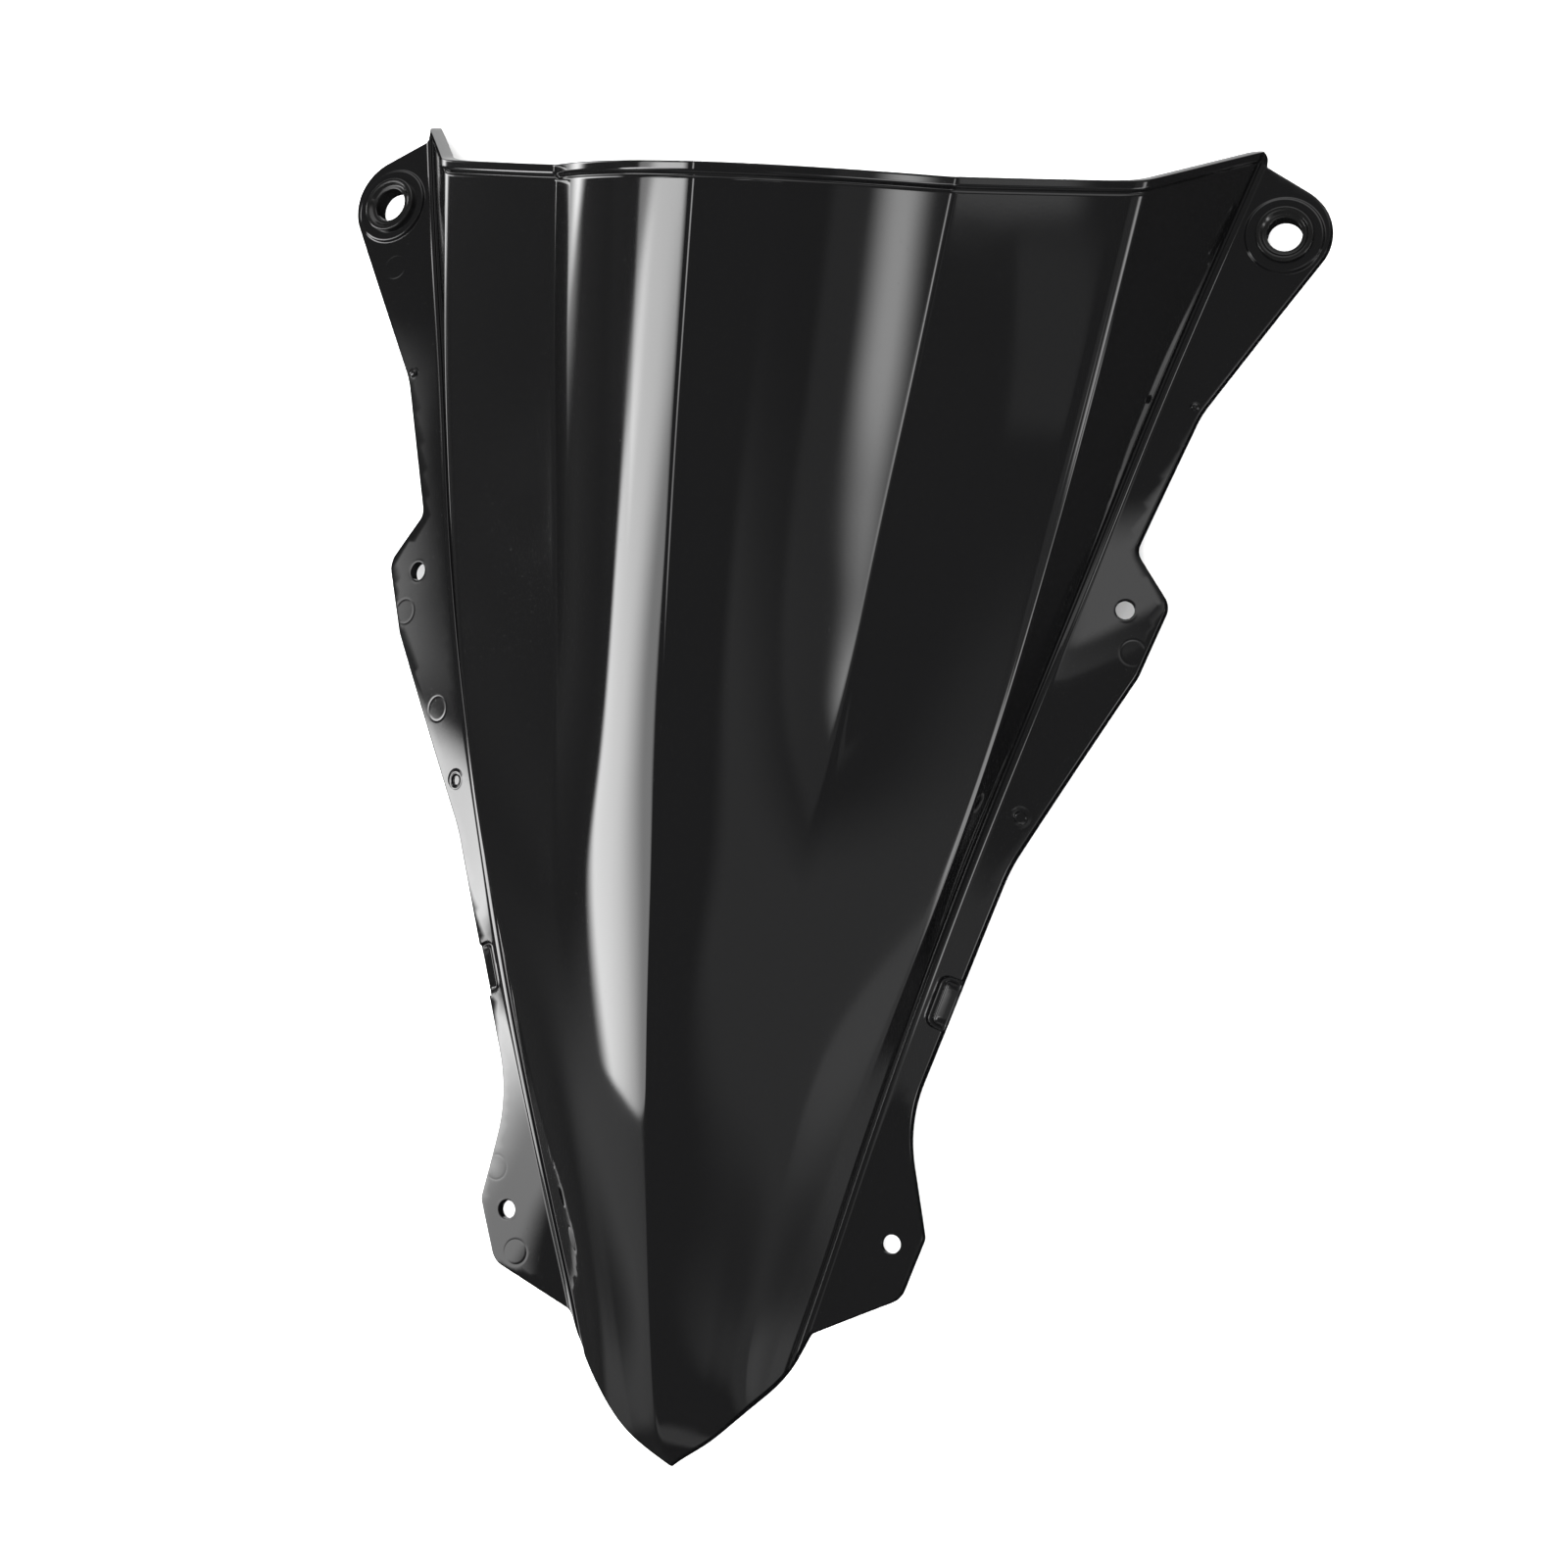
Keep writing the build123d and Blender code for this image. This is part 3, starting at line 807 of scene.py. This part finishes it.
def screen_shell():
    """Both halves of the moulding as one closed mesh."""
    skin = build_half()
    points = np.array(skin.points)
    middle = np.abs(points[:, 0]) < 1e-6
    mirrored = np.where(middle, np.arange(len(points)), 0)
    mirrored[~middle] = len(points) + np.arange(np.count_nonzero(~middle))
    whole = np.vstack((points, points[~middle] * (-1, 1, 1)))
    faces = list(skin.faces)
    faces += [tuple(mirrored[i] for i in face[::-1]) for face in skin.faces]
    placed = to_frame(whole)
    low, high = np.array(cad_low), np.array(cad_high)
    # The smoothed rows dip up to 0.3 mm under the CAD box at the wing ends, so the box flattens them there.
    return make_mesh("screen_shell", np.clip(placed, low, high), faces)


shell = screen_shell()
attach(shell, "root")
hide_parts("screen_moulding")


# ---------------------------------------------------------------- grommets
GROMMET_BORE_R = 5.55
GROMMET_FLANGE_R = 9.2
GROMMET_FLANGE_H = 1.5
GROMMET_RING_R = 7.7
GROMMET_DISH_DEPTH = 0.9
GROMMET_LOWER_H = 1.2
GROMMET_ROUND = 0.5
GROMMET_FIT = 0.02        # gap between the neck and the hole in the wing
GROMMET_TURNS = 120


def grommet_profile():
    """Closed section of the grommet as radius and height over the wing's outer face."""
    top, pad = PAD_HEIGHT + GROMMET_FLANGE_H, PAD_HEIGHT
    bottom = -WALL - GROMMET_LOWER_H
    dish = top - GROMMET_DISH_DEPTH
    neck = MIRROR_HOLE_R - GROMMET_FIT
    corners = (
        (GROMMET_BORE_R, dish, 0.25), (GROMMET_RING_R - 0.9, dish + 0.1, 0.4),
        (GROMMET_RING_R, top - 0.05, 0.25), (GROMMET_RING_R + 0.5, top, 0.25),
        (GROMMET_FLANGE_R, top, GROMMET_ROUND), (GROMMET_FLANGE_R, pad, 0.12),
        (neck, pad, 0.02), (neck, -WALL, 0.02),
        (GROMMET_FLANGE_R, -WALL, 0.12), (GROMMET_FLANGE_R, bottom, GROMMET_ROUND),
        (GROMMET_BORE_R, bottom, 0.3),
    )
    middle = (GROMMET_BORE_R, -WALL / 2, 0)
    path = rounded_path((middle, *corners, middle), 0.12)
    return spaced(path, 0.8)[:-1]


def grommet_mesh(side, name):
    """The grommet turned about the mirror hole's axis."""
    profile = grommet_profile()
    turns = GROMMET_TURNS
    origin, x_dir, y_dir, normal = tangent_frame(MIRROR_HOLE)
    angle = 2 * np.pi * np.arange(turns) / turns
    circle = np.outer(np.cos(angle), x_dir) + np.outer(np.sin(angle), y_dir)
    points = np.array([origin + h * normal + r * spoke for spoke in circle for r, h in profile])
    points[:, 0] *= side
    n = len(profile)
    faces = []
    for i in range(turns):
        for k in range(n):
            a, b = i * n + k, i * n + (k + 1) % n
            c, d = (i + 1) % turns * n + (k + 1) % n, (i + 1) % turns * n + k
            faces.append((a, d, c, b) if side > 0 else (a, b, c, d))
    return make_mesh(name, to_frame(points), faces)


grommets = []
for side, word in ((1, "right"), (-1, "left")):
    piece = grommet_mesh(side, f"grommet_{word}")
    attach(piece, "root")
    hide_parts(f"mirror_grommet_{word}")
    grommets.append(piece)


# ---------------------------------------------------------------- camera
SENSOR = 36.0             # millimetres
FOCAL = 157.5             # millimetres
CAMERA_PLACE = (0.7973, -0.3371, 2.0003)   # metres
CAMERA_RIGHT = (0.930, 0.125, -0.346)
CAMERA_UP = (-0.061, 0.980, 0.191)
CAMERA_REACH = 20         # metres


def add_camera():
    """Camera for the main view, from its place and the directions of its right and up."""
    data = bpy.data.cameras.new("camera")
    data.lens, data.sensor_width = FOCAL, SENSOR
    data.clip_end = CAMERA_REACH
    camera = bpy.data.objects.new("camera", data)
    bpy.context.scene.collection.objects.link(camera)
    right = Vector(CAMERA_RIGHT).normalized()
    up = Vector(CAMERA_UP)
    up = (up - right * up.dot(right)).normalized()
    back = right.cross(up)
    camera.matrix_world = Matrix.Translation(CAMERA_PLACE) @ Matrix((right, up, back)).transposed().to_4x4()
    bpy.context.scene.camera = camera


add_camera()


# ---------------------------------------------------------------- node helpers
class Graph:
    """Short ways to add nodes to one node tree."""

    def __init__(self, tree):
        self.tree = tree

    def node(self, kind, **settings):
        """A new node of this kind."""
        made = self.tree.nodes.new(kind)
        for key, value in settings.items():
            setattr(made, key, value)
        return made

    def join(self, source, target):
        """Link a socket, or set a plain value, on the target socket."""
        if isinstance(source, (int, float, tuple)):
            target.default_value = source
        else:
            self.tree.links.new(source, target)

    def maths(self, operation, *values):
        """Result of one sum on values or sockets."""
        made = self.node("ShaderNodeMath", operation=operation)
        for i, value in enumerate(values):
            self.join(value, made.inputs[i])
        return made.outputs[0]

    def ramp(self, value, low, high, start=0.0, end=1.0):
        """Smooth step of value from start at low to end at high."""
        made = self.node("ShaderNodeMapRange", interpolation_type="SMOOTHSTEP")
        for i, item in enumerate((value, low, high, start, end)):
            self.join(item, made.inputs[i])
        return made.outputs[0]

    def noise(self, place, scale, detail):
        """Cloudy noise from 0 to 1."""
        made = self.node("ShaderNodeTexNoise")
        self.join(place, made.inputs["Vector"])
        made.inputs["Scale"].default_value = scale
        made.inputs["Detail"].default_value = detail
        made.inputs["Roughness"].default_value = 0.5
        return made.outputs["Fac"]

    def bump(self, place, scale, detail, strength, depth, normal=None):
        """A normal with noise bumps, on top of another normal if one is given."""
        made = self.node("ShaderNodeBump")
        made.inputs["Strength"].default_value = strength
        made.inputs["Distance"].default_value = depth
        self.join(self.noise(place, scale, detail), made.inputs["Height"])
        if normal is not None:
            self.join(normal, made.inputs["Normal"])
        return made.outputs[0]

    def grey(self, tone):
        """A grey colour from one value."""
        made = self.node("ShaderNodeCombineColor")
        for i in range(3):
            self.join(tone, made.inputs[i])
        return made.outputs[0]


# ---------------------------------------------------------------- materials
PLASTIC_COLOUR = (0.0015, 0.0015, 0.0016, 1.0)
PLASTIC_IOR = 1.5
PLASTIC_ROUGHNESS = (0.035, 0.075)
DUST_ROUGHNESS = 0.12
RUBBER_COLOUR = (0.002, 0.002, 0.002, 1.0)
RUBBER_ROUGHNESS = (0.09, 0.17)
CLOUD_RANGE = (0.3, 0.7)  # the part of a noise's values that makes the full change
DUST_RANGE = (0.72, 0.78)
# Noises as scale and detail.
PLASTIC_CLOUD = (14.0, 3.0)
PLASTIC_DUST = (1400.0, 1.0)
RUBBER_CLOUD = (260.0, 3.0)
FLOOR_CLOUD = (3.0, 2.0)
# Bumps as noise scale, noise detail, strength and depth in metres.
PLASTIC_WAVES = (22.0, 1.0, 0.35, 0.00012)
PLASTIC_GRAIN = (900.0, 2.0, 0.06, 0.00001)
RUBBER_GRAIN = (1500.0, 2.0, 0.15, 0.00004)


def new_material(name):
    """A new material with its node graph and its shader node."""
    material = bpy.data.materials.new(name)
    material.use_nodes = True
    graph = Graph(material.node_tree)
    return material, graph, material.node_tree.nodes["Principled BSDF"]


def smoked_plastic():
    """Black-looking smoked plastic: glossy, with faint moulding waviness and fine dust."""
    material, graph, shader = new_material("smoked_plastic")
    place = graph.node("ShaderNodeTexCoord").outputs["Object"]
    shader.inputs["Base Color"].default_value = PLASTIC_COLOUR
    shader.inputs["IOR"].default_value = PLASTIC_IOR
    rough = graph.ramp(graph.noise(place, *PLASTIC_CLOUD), *CLOUD_RANGE, *PLASTIC_ROUGHNESS)
    dust = graph.ramp(graph.noise(place, *PLASTIC_DUST), *DUST_RANGE)
    graph.join(graph.maths("MULTIPLY_ADD", dust, DUST_ROUGHNESS, rough), shader.inputs["Roughness"])
    waves = graph.bump(place, *PLASTIC_WAVES)
    graph.join(graph.bump(place, *PLASTIC_GRAIN, waves), shader.inputs["Normal"])
    return material


def grommet_rubber():
    """Smooth black rubber with a slight mottled sheen."""
    material, graph, shader = new_material("grommet_rubber")
    place = graph.node("ShaderNodeTexCoord").outputs["Object"]
    shader.inputs["Base Color"].default_value = RUBBER_COLOUR
    cloud = graph.noise(place, *RUBBER_CLOUD)
    graph.join(graph.ramp(cloud, *CLOUD_RANGE, *RUBBER_ROUGHNESS), shader.inputs["Roughness"])
    graph.join(graph.bump(place, *RUBBER_GRAIN), shader.inputs["Normal"])
    return material


shell.data.materials.append(smoked_plastic())
rubber = grommet_rubber()
for piece in grommets:
    piece.data.materials.append(rubber)


# ---------------------------------------------------------------- studio
# Directions are degrees: azimuth from the nose (-Y) towards +X, and elevation over the floor.
AMBIENT = 0.15            # strength of the plain surroundings above the horizon
UNDER = 0.1               # and below it
DEEP = 0.01               # and far below it
HORIZON_FADE = (-6.0, 6.0)
UNDER_FADE = (-42.0, -22.0)
FLOOR_SIZE = 8.0          # metres
FLOOR_COLOUR = 0.85
FLOOR_MOTTLE = 0.01
OVERHEAD_SIZE = 2.4       # metres
OVERHEAD_POWER = 270.0
OVERHEAD_PLACE = (0.5, -0.5, 2.4)


def add_floor():
    """Matt white floor, left out of the gloss so that the plastic mirrors only the studio."""
    mesh = bpy.data.meshes.new("floor")
    half = FLOOR_SIZE / 2
    corners = [(-half, -half, 0), (half, -half, 0), (half, half, 0), (-half, half, 0)]
    mesh.from_pydata(corners, [], [(0, 1, 2, 3)])
    floor = bpy.data.objects.new("floor", mesh)
    bpy.context.scene.collection.objects.link(floor)
    material, graph, shader = new_material("floor")
    place = graph.node("ShaderNodeTexCoord").outputs["Object"]
    tones = (FLOOR_COLOUR - FLOOR_MOTTLE, FLOOR_COLOUR + FLOOR_MOTTLE)
    tone = graph.ramp(graph.noise(place, *FLOOR_CLOUD), *CLOUD_RANGE, *tones)
    graph.join(graph.grey(tone), shader.inputs["Base Color"])
    shader.inputs["Roughness"].default_value = 0.9
    shader.inputs["Specular IOR Level"].default_value = 0.2
    mesh.materials.append(material)
    floor.visible_glossy = False


# Each light is its strength and the straight edges round it. An edge (a, b, start, end) looks at
# a * azimuth + b * elevation, and the light rises from nothing at start to full at end.
SOFTBOX_EDGES = (
    (1, 0.13, -88.5, -85.5), (1, 0.45, -84.6, -81.6), (0, -1, -66, -59), (0, 1, 0.5, 5.5),
    (-2.35, 1, 181.6, 183.2),
)
LIGHTS = (
    # Tall softbox on the left, seen along the left of the crown: its whole width, then its bright core.
    (3.8, ((-1, -0.2, 52.5, 57.5), *SOFTBOX_EDGES)),
    (6.8, ((-1, -0.2, 63, 78), *SOFTBOX_EDGES)),
    # Window further round on the left, seen in the left wing.
    (3.0, ((0, 1, 18.5, 23), (-1, -0.3, 78, 82), (1, 1.1, -72, -66), (0, -1, -50, -40))),
    # Glow below the softbox, seen on the left of the nose.
    (0.4, ((1, 0, -84, -76), (-1, 0, 45, 60), (0, 1, -16, -4), (0, -1, -26, -16))),
    # Low light behind on the left: its foot, then the strip seen beside the left fold.
    (1.0, ((1, 0, -112, -106), (-1, 0, 97, 100), (0, 1, -52, -46), (0, -1, 22, 28))),
    (4.0, ((1, 0, -112, -106), (-1, 0, 99, 100.5), (0, 1, -34, -26), (0, -1, -8, 0))),
    # Long low light on the right: the band on the bubble, the band beside the crease, and its lower part.
    (5.5, ((1, 0, 85, 88.3), (-1, 0, -95, -93.6), (0, 1, 1.5, 8), (0, -1, -18, -9))),
    (5.0, ((1, 0, 66, 71), (-1, 0, -88, -85.5), (0, 1, -6, 0), (-2.1, -1, -184, -174), (0, -1, -28, -22))),
    (4.0, ((1, 0, 85, 88), (-1, 0, -92, -89), (0, 1, -8, -4), (0, -1, -1.5, 1))),
    # Haze round that light.
    (0.2, ((1, 0, 78, 82), (-1, 0, -103, -99), (0, 1, -4, 4), (0, -1, -31, -26))),
    # Pale wall high on the right, seen in the right panel as two tones and in the right wing.
    (0.2, ((1, 0, 88, 90), (-1, 0, -98, -97), (0, 1, 49, 51), (0, -1, -56, -55.3))),
    (1.0, ((1, 0, 98, 98.4), (-1, 0, -112, -104), (0, 1, 50, 52.5), (0, -1, -70, -61))),
    (1.5, ((1, 0, 104, 108), (-1, 0, -145, -128), (0, 1, 64, 68), (0, -1, -80, -74))),
    # Dim wall in front on the right, seen on the right of the nose.
    (0.3, ((1, 0, 48, 56), (-1, 0, -86, -70), (0, 1, 10, 20), (0, -1, -57, -49))),
    (0.5, ((1, 0, 55, 62), (-1, 0, -74, -68), (0, 1, -10, 0), (0.9, -1, 30.5, 31.5))),
    # Fills for the other sides: rear right, rear left, front, and low on the left.
    (1.3, ((1, 0, 118, 150), (0, 1, 0, 12), (0, -1, -61, -40))),
    (1.3, ((-1, 0, 124, 150), (0, 1, 0, 12), (0, -1, -61, -40))),
    (0.5, ((1, 0, -48, -25), (-1, 0, -36, -15), (0, 1, -2, 6), (0, -1, -23, -14))),
    (0.9, ((-1, 0, 112, 122), (0, 1, -70, -50), (0, -1, 10, 22))),
)


def patch(graph, azimuth, elevation, edges):
    """Share of a light in each direction: 1 well inside its edges and 0 outside them."""
    share = 1.0
    for a, b, start, end in edges:
        line = graph.maths("MULTIPLY_ADD", azimuth, float(a), graph.maths("MULTIPLY", elevation, float(b)))
        share = graph.maths("MULTIPLY", graph.ramp(line, float(start), float(end)), share)
    return share


def add_world():
    """A dim studio with the lights placed by direction."""
    world = bpy.data.worlds.new("studio")
    bpy.context.scene.world = world
    world.use_nodes = True
    graph = Graph(world.node_tree)
    direction = graph.node("ShaderNodeSeparateXYZ")
    graph.join(graph.node("ShaderNodeTexCoord").outputs["Generated"], direction.inputs[0])
    x, y, z = direction.outputs
    turn = graph.maths("ARCTAN2", x, graph.maths("MULTIPLY", y, -1.0))
    azimuth = graph.maths("MULTIPLY", turn, 180 / math.pi)
    elevation = graph.maths("MULTIPLY", graph.maths("ARCSINE", z), 180 / math.pi)
    under = graph.ramp(elevation, *UNDER_FADE, DEEP, UNDER)
    above = graph.ramp(elevation, *HORIZON_FADE)
    total = graph.maths("MULTIPLY_ADD", above, AMBIENT - UNDER, under)
    for strength, edges in LIGHTS:
        total = graph.maths("MULTIPLY_ADD", patch(graph, azimuth, elevation, edges), strength, total)
    graph.join(graph.grey(total), world.node_tree.nodes["Background"].inputs["Color"])


def add_overhead():
    """Soft light from above for the floor, kept out of the gloss."""
    data = bpy.data.lights.new("overhead", "AREA")
    data.shape = "DISK"
    data.size = OVERHEAD_SIZE
    data.energy = OVERHEAD_POWER
    lamp = bpy.data.objects.new("overhead", data)
    bpy.context.scene.collection.objects.link(lamp)
    lamp.location = OVERHEAD_PLACE
    lamp.rotation_euler = (-lamp.location).to_track_quat("-Z", "Y").to_euler()
    lamp.visible_glossy = False
    lamp.visible_camera = False


add_floor()
add_world()
add_overhead()
bpy.context.scene.view_settings.view_transform = "Standard"
